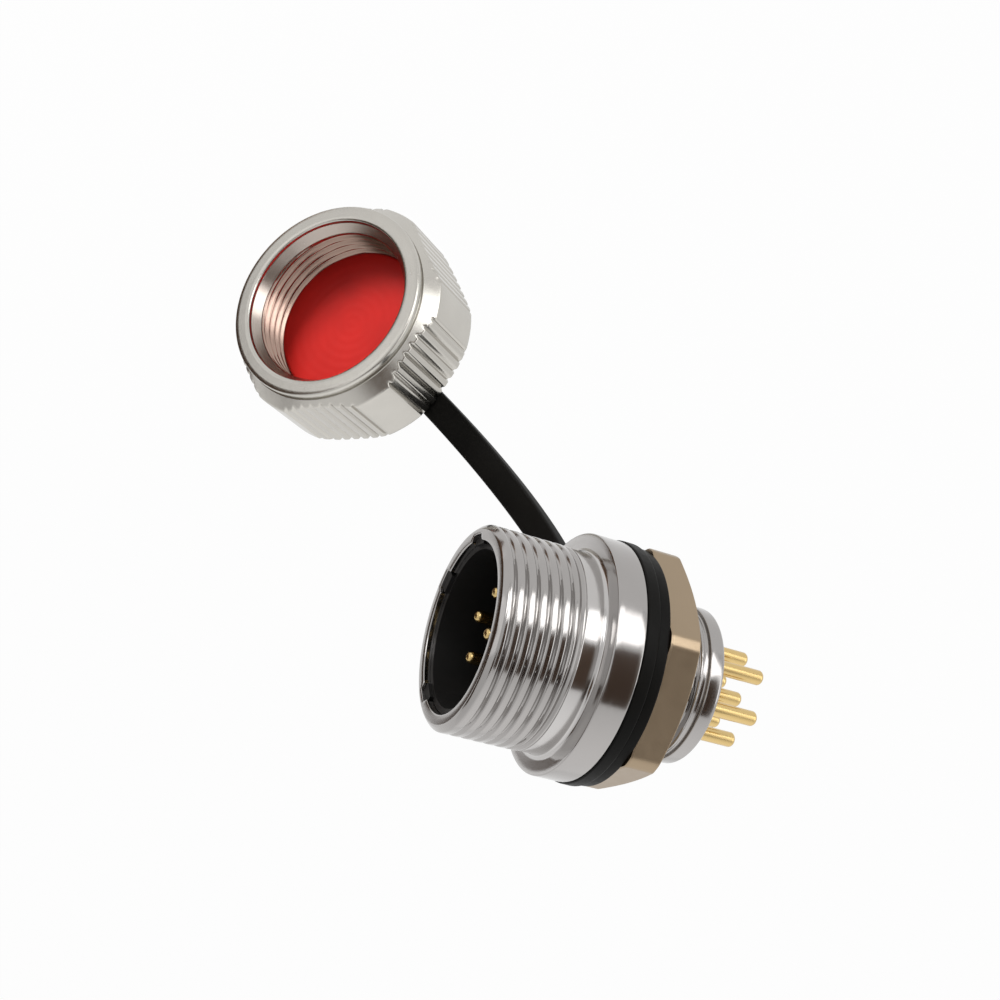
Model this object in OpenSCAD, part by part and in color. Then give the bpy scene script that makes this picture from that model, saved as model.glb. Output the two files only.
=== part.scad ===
// Panel-mount circular connector receptacle with a screw cap on a tether, in millimetres.
// The connector's axis lies along Y: the mating end faces -Y and the solder posts point to +Y.
// The origin is on that axis, in the flange's rear face, and the cap hangs towards -Z.

/* [Barrel] */
// Diameter over the coupling thread
barrel_d = 16; // [15:0.1:20]
// Length of the threaded barrel, from the rim to the neck
barrel_len = 7; // [6.5:0.1:10]
// Wall between the coupling thread's crests and the socket
barrel_wall = 1.3; // [1.2:0.05:1.5]
// Bevel on the rim
rim_bevel = 0.4; // [0.2:0.05:0.6]
// Plain land between that bevel and the coupling thread
rim_land = 0.05; // [0.05:0.05:0.5]
// Pitch of the coupling thread
coupling_pitch = 0.75; // [0.6:0.05:1]
// Depth of the coupling thread
coupling_depth = 0.4; // [0.25:0.05:0.45]
// Drop from the thread's crests to the plain neck
neck_drop = 0.3; // [0.1:0.05:0.5]
// Length of the plain neck
neck_len = 1.4; // [0.8:0.1:3]

/* [Flange] */
// Reach of the flange outside the barrel
flange_lip = 1.5; // [1:0.1:4]
// Thickness of the flange
flange_t = 2.45; // [2:0.05:4]
// Bevel on the flange's two edges
flange_bevel = 0.15; // [0.05:0.05:0.4]

/* [Panel stud] */
// Diameter over the panel thread
stud_d = 12.5; // [12.2:0.1:13]
// Length of the stud behind the flange
stud_len = 8.6; // [8:0.1:12]
// Wall of the stud
stud_wall = 1.05; // [0.95:0.05:1.2]
// Pitch of the panel thread
stud_pitch = 0.75; // [0.7:0.05:1.25]
// Depth of the panel thread
stud_depth = 0.35; // [0.25:0.05:0.4]
// Plain land between the flange and the panel thread
stud_land = 0.3; // [0.1:0.05:1]
// Length of the plain collar at the stud's end
collar_len = 1.3; // [0.8:0.1:1.8]
// Width of the relief groove in front of that collar
relief_w = 0.55; // [0.5:0.05:0.8]
// Depth of that groove
relief_depth = 0.35; // [0.2:0.05:0.5]
// Bevel on the stud's end
stud_bevel = 0.2; // [0.1:0.05:0.5]

/* [Insert] */
// Distance from the rim back to the insert's front edge
insert_setback = 0.6; // [0.3:0.05:1.5]
// Wall of the insert's cup
insert_wall = 0.5; // [0.4:0.05:0.8]
// Thickness of the cup's floor
insert_floor = 1.8; // [1.4:0.1:2.4]
// Metal left between the insert's seat and the flange's rear face
insert_seat = 1.4; // [1:0.1:2]
// Length of the boss behind that seat
boss_len = 3.4; // [2.8:0.1:4]
// Thickness of the rear insert
rear_insert_t = 2; // [1.5:0.1:2.6]
// Width of the keys that stop the insert from turning
key_w = 1.6; // [1:0.1:2]
// Height of those keys outside the cup
key_h = 0.45; // [0.3:0.05:0.5]
// Length of those keys
key_len = 4; // [2:0.1:5]

/* [Contacts] */
// Diameter of the circle that the outer contacts stand on
contact_circle_d = 6.5; // [6:0.1:7.2]
// Number of contacts on that circle
contact_ring_count = 6; // [6:6]
// Clock angle of the first of them, from +Z towards -X
contact_clock = 13; // [0:1:60]
// Diameter of the mating pins
pin_d = 1; // [0.8:0.05:1.2]
// Distance from the rim back to the pins' tips
pin_setback = 2.1; // [1.5:0.1:4]
// Diameter of the solder posts
post_d = 1.2; // [1:0.05:1.4]
// Reach of the posts behind the stud
post_reach = 5.2; // [3:0.1:8]
// Diameter of the collar that is trapped between the inserts
contact_collar_d = 1.7; // [1.6:0.05:2]
// Thickness of that collar
contact_collar_t = 0.8; // [0.5:0.05:1.2]

/* [Retaining ring] */
// Thickness of the ring
ring_t = 0.8; // [0.6:0.05:1]
// Radial width of the ring
ring_w = 1; // [0.8:0.05:1.3]
// Depth of the groove that it snaps into
ring_bite = 0.3; // [0.2:0.05:0.4]
// Angle left open in the ring
ring_gap = 34; // [20:1:60]

/* [Tether] */
// Thickness of the strap, its loop and its eyelet
tether_t = 1; // [0.8:0.05:1.4]
// Width of the strap
tether_w = 2.65; // [2.2:0.05:4]
// Amount by which the loop stands proud of the flange
loop_proud = 0.1; // [0:0.05:0.5]
// Diameter of the eyelet on the cap's back
eyelet_d = 8.6; // [7.5:0.1:10]
// Length of the straight tab at each end of the strap
tab_len = 1.2; // [0.8:0.1:2]
// Straight pull of the curve where it leaves the loop
root_pull = 4; // [3:0.5:8]
// Straight pull of the curve where it meets the eyelet
end_pull = 15.5; // [10:0.5:18]
// Swing of the eyelet's tab from the straight line to the loop
eyelet_swing = 4; // [0:1:12]
// Space between the eyelet and the cap's back, where the strap bends clear of the cap
eyelet_gap = 0.25; // [0.2:0.05:0.6]

/* [Gasket and nut] */
// Thickness of the panel gasket
gasket_t = 0.95; // [0.6:0.05:1.4]
// Amount by which the gasket's edge stays inside the flange
gasket_inset = 0.1; // [0:0.05:0.5]
// Amount by which the nut's flats stay inside the flange
nut_inset = 0.9; // [0.4:0.05:1.2]
// Thickness of the nut
nut_t = 2.85; // [2:0.05:3.2]
// Amount by which the nut's corners are turned down
nut_corner_cut = 0.25; // [0.1:0.05:0.6]
// Height of the bevel at the nut's rear corners
nut_bevel = 0.45; // [0.3:0.05:0.8]
// Amount by which the nut's round rear face stays inside its flats
nut_face_inset = 0.1; // [0.05:0.05:0.4]
// Clock angle of a corner of the nut, from +Z towards -X
nut_clock = 51.5; // [0:0.5:60]

/* [Cap] */
// Depth of the cap, from its mouth to its back
cap_depth = 9.25; // [9:0.05:12]
// Width of the flat face around the mouth
cap_rim_w = 1.57; // [1.4:0.01:2]
// Clearance of the mouth around the coupling thread, on the diameter
mouth_clear = 0.2; // [0.1:0.05:0.4]
// Depth of the mouth, in front of the cap's thread
mouth_len = 1.9; // [1.5:0.1:3]
// Length of the cone that leads from the mouth into that thread
mouth_lead = 1; // [0.5:0.1:1.2]
// Height of the cap's thread, from the coupling thread's crests inwards
cap_thread_h = 0.42; // [0.3:0.02:0.5]
// Thickness of the cap's back
cap_back_t = 2.6; // [2:0.1:3.2]
// Length of the smooth ring around the mouth
cap_ring_len = 0.65; // [0.5:0.05:1.2]
// Rounding of that ring's front edge
cap_ring_round = 0.2; // [0.1:0.05:0.4]
// Width of the groove behind that ring
cap_groove_w = 0.35; // [0.25:0.05:0.6]
// Depth of that groove
cap_groove_depth = 0.35; // [0.2:0.05:0.5]
// Reach of the grip's corners outside the ring
grip_lip = 1.2; // [0.9:0.05:1.6]
// Drop from the corners to the middle of a ridged flat
flat_drop = 0.65; // [0.4:0.05:0.8]
// Number of ridged flats around the grip
flat_count = 6; // [5:1:8]
// Number of valleys across a flat
valley_count = 8; // [5:1:8]
// Distance from one valley to the next
valley_step = 1.02; // [0.8:0.02:1.04]
// Depth of the valleys
valley_depth = 0.28; // [0.2:0.02:0.4]
// Length of the cone on the grip's front, which leaves a slanting face on each corner
grip_cone_len = 1.2; // [0.8:0.05:2]
// Bevel between the grip and the back
cap_back_bevel = 0.45; // [0.2:0.05:0.8]
// Thickness of the seal in the cap
seal_t = 1.5; // [1:0.1:2]

/* [Cap rivet] */
// Diameter of the rivet's shank in the cap's back
rivet_d = 2.4; // [2:0.1:3]
// Diameter of the shoulder that the eyelet turns on
shoulder_d = 3.4; // [3.2:0.1:4.5]
// Diameter of the rivet's head
rivet_head_d = 6; // [5.2:0.1:7]
// Height of the rivet's head
rivet_head_h = 0.9; // [0.6:0.05:1.4]
// Width of the flare that holds the shank inside the cap
flare_w = 0.5; // [0.3:0.05:0.7]

/* [Cap's place] */
// Distance of the cap's back below the connector's axis
cap_drop = 44.45; // [42:0.05:60]
// Distance of the cap's back in front of the flange's rear face
cap_ahead = 13.9; // [10:0.1:18]
// Angle by which the mouth is turned from -Y towards -X
cap_turn = 33.7; // [25:0.1:42]
// Angle by which the mouth is tilted up
cap_tilt = 27.6; // [20:0.1:34]
// Turn of the cap on its rivet
cap_clock = 58.6; // [0:0.2:60]

/* [Fits] */
// Clearance around a seated piece
slip = 0.03; // [0.02:0.01:0.05]
// Running clearance of the nut and of the eyelet
run = 0.05; // [0.03:0.01:0.08]

/* [Hidden] */
$fn = 64;
over = 1;                          // how far a cutter reaches past what it cuts
tip_share = 0.45;                  // rounding of a contact's ends, as a share of its diameter

// Radii of the shell, worked out from the coupling thread and the walls
barrel_r = barrel_d / 2;
socket_r = barrel_r - barrel_wall;
neck_r = barrel_r - neck_drop;
flange_r = barrel_r + flange_lip;
nut_flat_r = flange_r - nut_inset;
stud_r = stud_d / 2;
stud_bore_r = stud_r - stud_wall;

// Stations along the connector, from the rim backwards
flange_z = barrel_len + neck_len;
panel_z = flange_z + flange_t;
stud_z = panel_z + stud_len;
seat_z = panel_z - insert_seat;
floor_z = seat_z - insert_floor;
boss_z = seat_z + boss_len;
rear_insert_z = boss_z + rear_insert_t;
relief_z = stud_z - collar_len - relief_w;
loop_z = panel_z + tether_t;
nut_z = loop_z + gasket_t;

// Clock angles of the insert's keys, from +Z towards -X
key_clocks = [133, 186, 268];

// The cap's radii and stations, from its back towards its mouth
mouth_r = barrel_r + mouth_clear / 2;
cap_thread_r = barrel_r - cap_thread_h;
cap_ring_r = mouth_r + cap_rim_w;
grip_r = cap_ring_r + grip_lip;
flat_r = grip_r - flat_drop;
cap_ring_z = cap_depth - cap_ring_len;
grip_end_z = cap_ring_z - cap_groove_w;
eyelet_z = -eyelet_gap - tether_t;
head_z = eyelet_z - run;

// The cap's own axes and the middle of its back
cap_x = [cos(cap_turn), -sin(cap_turn), 0];
cap_y = [sin(cap_tilt) * sin(cap_turn), sin(cap_tilt) * cos(cap_turn), cos(cap_tilt)];
cap_z = [-cos(cap_tilt) * sin(cap_turn), -cos(cap_tilt) * cos(cap_turn), sin(cap_tilt)];
cap_back = [0, -cap_ahead, -cap_drop];

// The strap runs from the loop's tab to the eyelet's tab on one cubic curve
loop_r = flange_r + loop_proud;
eyelet_r = eyelet_d / 2;
strap_from = [0, tether_t / 2, -loop_r - tab_len];
eyelet_mid = cap_back + cap_z * (eyelet_z + tether_t / 2);
eyelet_line = in_plane(eyelet_mid - strap_from, cap_z);
eyelet_dir = eyelet_line * cos(eyelet_swing) + cross(cap_z, eyelet_line) * sin(eyelet_swing);
strap_to = eyelet_mid - eyelet_dir * (eyelet_r + tab_len);
strap_pulls = [strap_from, strap_from + [0, 0, -root_pull], strap_to - eyelet_dir * end_pull, strap_to];
strap_steps = 22;
root_across = [1, 0, 0];
end_across = cross(cap_z, eyelet_dir);

function unit(v) = v / norm(v);

// The part of v that lies in the plane square to n, as a unit vector
function in_plane(v, n) = unit(v - n * (v * n));

// A point and a tangent of the cubic curve with the control points p
function curve(p, t) = p[0] * pow(1 - t, 3) + p[1] * 3 * t * pow(1 - t, 2)
                     + p[2] * 3 * pow(t, 2) * (1 - t) + p[3] * pow(t, 3);
function heading(p, t) = unit((p[1] - p[0]) * pow(1 - t, 2) + (p[2] - p[1]) * 2 * t * (1 - t)
                              + (p[3] - p[2]) * pow(t, 2));

// Corners of the strap's section, across and through it, with its edges eased
function strap_section() = let (w = tether_w / 2, h = tether_t / 2, e = tether_t / 4)
    [[w - e, -h], [w, -h + e], [w, h - e], [w - e, h], [-w + e, h], [-w, h - e], [-w, -h + e], [-w + e, -h]];

// Thread rings on a turned profile of radius r between two stations: 60-degree grooves, one at each pitch
function thread_rings(r, from, to, pitch, depth) = let (w = 2 * depth * tan(30))
    [for (k = [0:floor((to - from - w) / pitch)]) let (z = from + k * pitch)
        each [[r, z], [r - depth, z + w / 2], [r, z + w]]];

// One ring of the strap: its section, set across the curve and turned gradually to the eyelet
function strap_ring(t) = let (
        ahead = heading(strap_pulls, t),
        across = in_plane(root_across * (1 - t) + end_across * t, ahead),
        through = cross(ahead, across))
    [for (c = strap_section()) curve(strap_pulls, t) + across * c[0] + through * c[1]];

// Sets what is drawn along +Z on the connector's axis, with Z measured from the rim
module on_axis() {
    translate([0, -panel_z, 0]) rotate([-90, 0, 0]) children();
}

// Turns what is drawn along X to a clock angle from +Z towards -X
module at_clock(angle) {
    rotate([0, 0, -90 - angle]) children();
}

// Sets what is drawn along +Z on the cap's axis, with Z measured from its back
module on_cap() {
    translate(cap_back) rotate([90 - cap_tilt, 0, -cap_turn]) children();
}

// The insert's keys, or the slots for them when room is given
module keys(room) {
    for (angle = key_clocks)
        at_clock(angle)
            translate([socket_r - insert_wall / 2, -key_w / 2 - room, room > 0 ? -over : insert_setback / 2])
                cube([insert_wall / 2 + key_h + room, key_w + 2 * room,
                      room > 0 ? key_len + room + over : key_len - insert_setback / 2]);
}

module shell() {
    ring_groove = [[stud_bore_r, rear_insert_z - slip], [stud_bore_r + ring_bite, rear_insert_z - slip],
                   [stud_bore_r + ring_bite, rear_insert_z + ring_t + slip],
                   [stud_bore_r, rear_insert_z + ring_t + slip]];
    color("silver") on_axis() difference() {
        rotate_extrude() polygon(concat(
            [[socket_r, 0], [barrel_r - rim_bevel, 0], [barrel_r, rim_bevel]],
            thread_rings(barrel_r, rim_bevel + rim_land, barrel_len, coupling_pitch, coupling_depth),
            [[barrel_r, barrel_len], [neck_r, barrel_len], [neck_r, flange_z],
             [flange_r - flange_bevel, flange_z], [flange_r, flange_z + flange_bevel],
             [flange_r, panel_z - flange_bevel], [flange_r - flange_bevel, panel_z], [stud_r, panel_z]],
            thread_rings(stud_r, panel_z + stud_land, relief_z, stud_pitch, stud_depth),
            [[stud_r, relief_z],
             [stud_r - relief_depth, relief_z], [stud_r - relief_depth, relief_z + relief_w],
             [stud_r, relief_z + relief_w], [stud_r, stud_z - stud_bevel], [stud_r - stud_bevel, stud_z],
             [stud_bore_r, stud_z]],
            [for (i = [3:-1:0]) ring_groove[i]],
            [[stud_bore_r, seat_z], [socket_r, seat_z]]));
        keys(slip);
    }
}

// Centres of the contacts: the outer circle first, and then the one on the axis
function contact_place(i) = i > contact_ring_count ? [0, 0]
    : let (angle = -90 - contact_clock - 360 / contact_ring_count * (i - 1))
      contact_circle_d / 2 * [cos(angle), sin(angle)];

module contact_holes(d, from, to) {
    for (i = [1:contact_ring_count + 1])
        translate(concat(contact_place(i), from)) cylinder(d = d + 2 * slip, h = to - from, $fn = 24);
}

module front_insert() {
    cup_r = socket_r - slip;
    collar_z = boss_z - contact_collar_t;
    color("#1c1b1a") on_axis() difference() {
        union() {
            rotate_extrude() polygon([[0, floor_z], [cup_r - insert_wall, floor_z],
                [cup_r - insert_wall, insert_setback], [cup_r, insert_setback], [cup_r, seat_z],
                [stud_bore_r - slip, seat_z], [stud_bore_r - slip, boss_z], [0, boss_z]]);
            keys(0);
        }
        contact_holes(pin_d, floor_z - over, boss_z);
        contact_holes(contact_collar_d, collar_z, boss_z + over);
    }
}

module rear_insert() {
    color("#242321") on_axis() difference() {
        translate([0, 0, boss_z]) cylinder(r = stud_bore_r - slip, h = rear_insert_t);
        contact_holes(post_d, boss_z - over, rear_insert_z + over);
    }
}

module retaining_ring() {
    outer_r = stud_bore_r + ring_bite - slip;
    color("gainsboro") on_axis() translate([0, 0, rear_insert_z])
        rotate([0, 0, ring_gap / 2]) rotate_extrude(angle = 360 - ring_gap)
            translate([outer_r - ring_w, 0]) square([ring_w, ring_t]);
}

// A turned contact: a mating pin, a collar that the inserts trap, and a solder post
module contact(i) {
    pin_r = pin_d / 2;
    post_r = post_d / 2;
    collar_r = contact_collar_d / 2;
    collar_z = boss_z - contact_collar_t;
    tip_z = stud_z + post_reach;
    pin_tip = pin_d * tip_share;
    post_tip = post_d * tip_share / 2;
    color("goldenrod") on_axis() translate(contact_place(i)) rotate_extrude($fn = 24) polygon([
        [0, pin_setback], [pin_r - pin_tip / 2, pin_setback], [pin_r, pin_setback + pin_tip],
        [pin_r, collar_z], [collar_r, collar_z], [collar_r, boss_z], [post_r, boss_z],
        [post_r, tip_z - post_tip], [post_r - post_tip, tip_z], [0, tip_z]]);
}

// A flat ring with a straight tab, along X, that carries the strap on
module tabbed_ring(outer_r, hole_r) {
    linear_extrude(tether_t) difference() {
        union() {
            circle(outer_r);
            translate([0, -tether_w / 2]) square([outer_r + tab_len, tether_w]);
        }
        circle(hole_r);
    }
}

// The strap, moulded in one piece with its loop behind the flange and its eyelet on the cap's back
module tether_strap() {
    corners = len(strap_section());
    last = strap_steps * corners;
    toward_strap = -eyelet_dir;
    color("#1a1a19") {
        on_axis() translate([0, 0, panel_z]) at_clock(180) tabbed_ring(loop_r, stud_r + slip);
        polyhedron(
            points = [for (i = [0:strap_steps]) each strap_ring(i / strap_steps)],
            faces = concat(
                [[for (k = [0:corners - 1]) k]],
                [[for (k = [corners - 1:-1:0]) last + k]],
                [for (i = [0:strap_steps - 1], k = [0:corners - 1])
                    let (a = i * corners + k, b = i * corners + (k + 1) % corners)
                    each [[b, a, a + corners], [b, a + corners, b + corners]]]));
        on_cap() translate([0, 0, eyelet_z])
            rotate([0, 0, atan2(toward_strap * cap_y, toward_strap * cap_x)])
                tabbed_ring(eyelet_r, shoulder_d / 2 + run);
    }
}

module panel_gasket() {
    color("#151514") on_axis() translate([0, 0, loop_z]) difference() {
        cylinder(r = flange_r - gasket_inset, h = gasket_t);
        translate([0, 0, -over]) cylinder(r = stud_r + slip, h = gasket_t + 2 * over);
    }
}

module panel_nut() {
    corner_r = nut_flat_r / cos(30);
    turned_r = corner_r - nut_corner_cut;
    color("tan") on_axis() translate([0, 0, nut_z]) difference() {
        intersection() {
            at_clock(nut_clock) cylinder(r = corner_r, h = nut_t, $fn = 6);
            rotate_extrude() polygon([[0, -over], [turned_r, -over], [turned_r, nut_t - nut_bevel],
                [nut_flat_r - nut_face_inset, nut_t], [0, nut_t]]);
        }
        translate([0, 0, -over]) cylinder(r = stud_r + run, h = nut_t + 2 * over);
    }
}

// The cuts that leave the flats on the grip
module flat_cuts() {
    for (i = [0:flat_count - 1])
        rotate([0, 0, cap_clock + i * 360 / flat_count])
            translate([flat_r, -grip_r, -over]) cube([grip_r, 2 * grip_r, cap_ring_z + over]);
}

// The valleys between the ridges of the flats: square prisms on edge, along the cap's axis
module flat_valleys() {
    side = valley_depth * sqrt(2);
    for (i = [0:flat_count - 1], k = [0:valley_count - 1])
        rotate([0, 0, cap_clock + i * 360 / flat_count])
            translate([flat_r, (k - (valley_count - 1) / 2) * valley_step, cap_ring_z / 2])
                rotate([0, 0, 45]) cube([side, side, cap_ring_z + over], center = true);
}

module cap_shell() {
    groove_r = cap_ring_r - cap_groove_depth;
    turn = cap_ring_round * (1 - cos(45));
    color("lightgray") on_cap() difference() {
        union() {
            difference() {
                rotate_extrude() polygon([[0, 0], [grip_r - cap_back_bevel, 0], [grip_r, cap_back_bevel],
                    [grip_r, grip_end_z - grip_cone_len], [cap_ring_r, grip_end_z], [groove_r, grip_end_z],
                    [groove_r, cap_ring_z], [0, cap_ring_z]]);
                flat_cuts();
                flat_valleys();
            }
            rotate_extrude() polygon([[0, cap_ring_z], [cap_ring_r, cap_ring_z],
                [cap_ring_r, cap_depth - cap_ring_round], [cap_ring_r - turn, cap_depth - turn],
                [cap_ring_r - cap_ring_round, cap_depth], [0, cap_depth]]);
        }
        rotate_extrude() polygon([[0, cap_back_t], [cap_thread_r, cap_back_t],
            [cap_thread_r, cap_depth - mouth_len], [mouth_r, cap_depth - mouth_len + mouth_lead],
            [mouth_r, cap_depth + over], [0, cap_depth + over]]);
        rotate_extrude($fn = 32) polygon([[0, -over], [rivet_d / 2, -over],
            [rivet_d / 2, cap_back_t - flare_w], [rivet_d / 2 + flare_w, cap_back_t],
            [rivet_d / 2 + flare_w, cap_back_t + over / 2], [0, cap_back_t + over / 2]]);
    }
}

module cap_seal() {
    color("firebrick") on_cap() translate([0, 0, cap_back_t])
        cylinder(r = cap_thread_r - slip, h = seal_t);
}

// The rivet: a flared shank in the cap's back, a shoulder for the eyelet, and a low domed head
module cap_rivet() {
    rivet_r = rivet_d / 2 - slip;
    head_r = rivet_head_d / 2;
    color("silver") on_cap() rotate_extrude($fn = 32) polygon([
        [0, cap_back_t], [rivet_r + flare_w, cap_back_t], [rivet_r, cap_back_t - flare_w], [rivet_r, 0],
        [shoulder_d / 2, 0], [shoulder_d / 2, head_z], [head_r, head_z],
        [head_r, head_z - rivet_head_h / 2], [head_r - rivet_head_h, head_z - rivet_head_h],
        [0, head_z - rivet_head_h]]);
}

shell();
front_insert();
rear_insert();
retaining_ring();
for (i = [1:contact_ring_count + 1])
    contact(i);
tether_strap();
panel_gasket();
panel_nut();
cap_shell();
cap_seal();
cap_rivet();
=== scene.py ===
"""Panel-mount circular connector receptacle with a tethered screw cap: surfaces, finishes, studio
and camera."""

import bpy
import numpy as np
from mathutils import Matrix


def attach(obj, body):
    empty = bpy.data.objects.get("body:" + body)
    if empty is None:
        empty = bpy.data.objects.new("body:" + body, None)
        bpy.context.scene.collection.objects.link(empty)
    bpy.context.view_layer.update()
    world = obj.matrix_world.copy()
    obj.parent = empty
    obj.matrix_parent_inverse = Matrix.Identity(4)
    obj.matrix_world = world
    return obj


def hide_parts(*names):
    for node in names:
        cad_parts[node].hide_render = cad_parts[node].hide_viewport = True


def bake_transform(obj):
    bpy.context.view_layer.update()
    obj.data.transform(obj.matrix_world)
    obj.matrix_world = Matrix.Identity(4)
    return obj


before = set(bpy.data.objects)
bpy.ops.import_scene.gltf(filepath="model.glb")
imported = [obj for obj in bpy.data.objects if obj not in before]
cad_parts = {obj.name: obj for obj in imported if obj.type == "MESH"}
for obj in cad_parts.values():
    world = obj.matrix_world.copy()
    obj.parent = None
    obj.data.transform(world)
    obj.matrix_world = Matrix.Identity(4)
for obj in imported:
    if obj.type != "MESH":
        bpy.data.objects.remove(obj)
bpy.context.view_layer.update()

# Lengths are millimetres, as on the drawing, and become metres when a mesh is written.
MM = 0.001
DEG = np.pi / 180
FULL_TURN = 2 * np.pi

# Stations along the connector, from the rim backwards
BARREL_T, FLANGE_T, PANEL_T, STUD_T = 6.55, 8.4, 10.85, 19.45
LOOP_T, NUT_T = 11.85, 12.8
SEAT_T, RING_T, RING_LEN = 9.45, 14.85, 0.8
RELIEF_T, RELIEF_W = 17.6, 0.55

# The shell's radii, then its bevels, fillet and grooves, and how close to a wall a row counts as
# part of it, with the spacing of rows on threads and elsewhere
BARREL_R, SOCKET_R, NECK_R, FLANGE_R, STUD_R, STUD_BORE_R = 8.0, 6.7, 7.93, 9.5, 6.25, 5.2
RIM_BEVEL, NECK_STEP, NECK_FILLET, STUD_BEVEL = 0.4, 0.1, 0.3, 0.2
RELIEF_DEPTH, RING_GROOVE, SHELL_EASE = 0.35, 0.3, 0.14
ON_WALL, THREAD_STEP, PLAIN_STEP = 0.05, 0.066, 0.5

# Threads: on the barrel and in the cap, then on the stud and in the nut. A crest is the flat share
# of a pitch.
COUPLING_PITCH, COUPLING_DEPTH, COUPLING_CREST, COUPLING_OFFSET = 0.92, 0.26, 0.42, 0.2
RUN_IN, RUN_OUT = (0.5, 0.8), (5.8, 6.05)
END_GROOVE_T, END_GROOVE_DEPTH, END_GROOVE_W = 6.27, 0.2, 0.15
STUD_PITCH, STUD_DEPTH, STUD_CREST, STUD_RUN_IN = 0.75, 0.38, 0.3, (0.1, 0.6)
CAP_THREAD_DEPTH, CAP_THREAD_CREST, NUT_THREAD_DEPTH = 0.42, 0.2, 0.15

# The slots for the insert's keys in the socket wall: clock angles, depth, half width at the slot's
# bottom and at its mouth, length, and the length of the slope at its end
KEY_CLOCKS, KEY_DEPTH, KEY_HALF, KEY_LEN, KEY_RAMP = (133, 186, 268), 0.48, (0.78, 0.98), 4.05, 0.15

# The contacts: six on a circle and one on the axis, with a pin, a collar and a post each
CONTACTS, CONTACT_CLOCK, CONTACT_CIRCLE_R = 7, 13, 3.25
PIN_R, PIN_TIP_R, PIN_TIP_T = 0.5, 0.08, 2.1
COLLAR_R, COLLAR_T, COLLAR_LEN = 0.85, 12.05, 0.8
POST_R, POST_TIP_R, POST_NOSE, POST_END_T = 0.6, 0.06, 0.42, 24.65

# The nut: its flats, its turned corners, height, rear bevel and clock angle, and its run on the
# stud
NUT_FLAT_R, NUT_CORNER_R, NUT_H, NUT_BEVEL, NUT_CLOCK, RUN = 8.6, 9.68, 2.85, 0.45, 51.5, 0.05
NUT_BEVEL_IN, NUT_FRONT_EASE, NUT_COUNTERSINK, NUT_THREAD_GAP = 0.1, 0.07, 0.25, 0.12

# The cap: its place, its own axes and its sizes from the back towards the mouth
CAP_TURN, CAP_TILT, CAP_CLOCK = 33.7 * DEG, 27.6 * DEG, 58.6 * DEG
CAP_BACK = np.array([0.0, -13.9, -44.45])
CAP_X = np.array([np.cos(CAP_TURN), -np.sin(CAP_TURN), 0.0])
CAP_Z = np.array([-np.cos(CAP_TILT) * np.sin(CAP_TURN), -np.cos(CAP_TILT) * np.cos(CAP_TURN),
                  np.sin(CAP_TILT)])
CAP_Y = np.cross(CAP_Z, CAP_X)
CAP_DEPTH, CAP_FLOOR, SEAL_TOP, SEAL_TOP_R, SEAL_RING_PITCH = 9.25, 2.6, 4.1, 7.2, 0.9
MOUTH_R, CAP_THREAD_R, CAP_RING_R, GRIP_R, FLAT_R = 8.15, 7.5, 9.67, 10.87, 10.22
CAP_RING_Z, GRIP_END_Z, GROOVE_R, RIVET_HOLE_R = 8.6, 8.25, 9.42, 1.2
MOUTH_Z, THREAD_Z, THREAD_FADE = 8.85, 7.9, 0.35
RIDGES, RIDGE_PITCH, VALLEY_DEPTH, VALLEY_HALF, BACK_BEVEL = 8, 1.02, 0.28, 0.27, 0.45

# The ring round the cap's mouth, from the groove outside to the mouth's wall: radius and height
CAP_RING = np.array([
    (GROOVE_R, 8.27), (GROOVE_R, 8.45), (GROOVE_R + 0.04, 8.57), (CAP_RING_R - 0.08, CAP_RING_Z),
    (CAP_RING_R - 0.02, 8.63), (CAP_RING_R, 8.70), (CAP_RING_R, 9.02), (CAP_RING_R - 0.02, 9.12),
    (CAP_RING_R - 0.08, 9.20), (CAP_RING_R - 0.18, CAP_DEPTH), (9.2, CAP_DEPTH), (8.6, CAP_DEPTH),
    (MOUTH_R + 0.18, CAP_DEPTH), (MOUTH_R + 0.08, 9.21), (MOUTH_R + 0.02, 9.12), (MOUTH_R, 9.02),
    (MOUTH_R, 8.88)])

# The cap's back and floor and the seal's edge and underside, point by point: radius and height
CAP_BACK_FACE = np.array([
    (RIVET_HOLE_R, 0.15), (1.35, 0), (2.5, 0), (4.5, 0), (7.0, 0), (9.0, 0), (9.9, 0)])
CAP_FLOOR_FACE = np.array([
    (7.0, CAP_FLOOR), (4.0, CAP_FLOOR), (1.8, CAP_FLOOR), (1.7, CAP_FLOOR - 0.1),
    (RIVET_HOLE_R, CAP_FLOOR - 0.5), (RIVET_HOLE_R, 1.3)])
SEAL_EDGE = np.array([
    (7.34, SEAL_TOP - 0.04), (7.45, SEAL_TOP - 0.08), (7.52, SEAL_TOP - 0.16),
    (7.55, SEAL_TOP - 0.3), (7.55, 2.75), (7.5, 2.62), (6.0, 2.61), (2.0, 2.61)])

# The strap: its section, its loop and eyelet, and its curve from the loop's tab to the eyelet's tab
TETHER_T, TETHER_W, LOOP_R, EYELET_R, EYELET_HOLE_R, TAB = 1.0, 2.65, 9.6, 4.3, 1.75, 1.2
ROOT_PULL, END_PULL, EYELET_SWING, EYELET_GAP = 4.0, 15.5, 4.0 * DEG, 0.25
STRAP_FILLET, STRAP_EASE, STRAP_THIN, STRAP_OVERLAP, STRAP_CLEAR = 1.0, 0.22, 0.985, 0.9, 0.8
RING_EASE, STUD_GAP, GASKET_INSET = 0.15, 0.03, 0.1


# Shapes

def on_connector(r, clock, t):
    """Row-frame points on the connector: radius r at a clock angle from +Z towards -X, t behind the
    rim."""
    return np.stack(np.broadcast_arrays(-r * np.sin(clock), t - PANEL_T, r * np.cos(clock)), -1)


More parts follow.
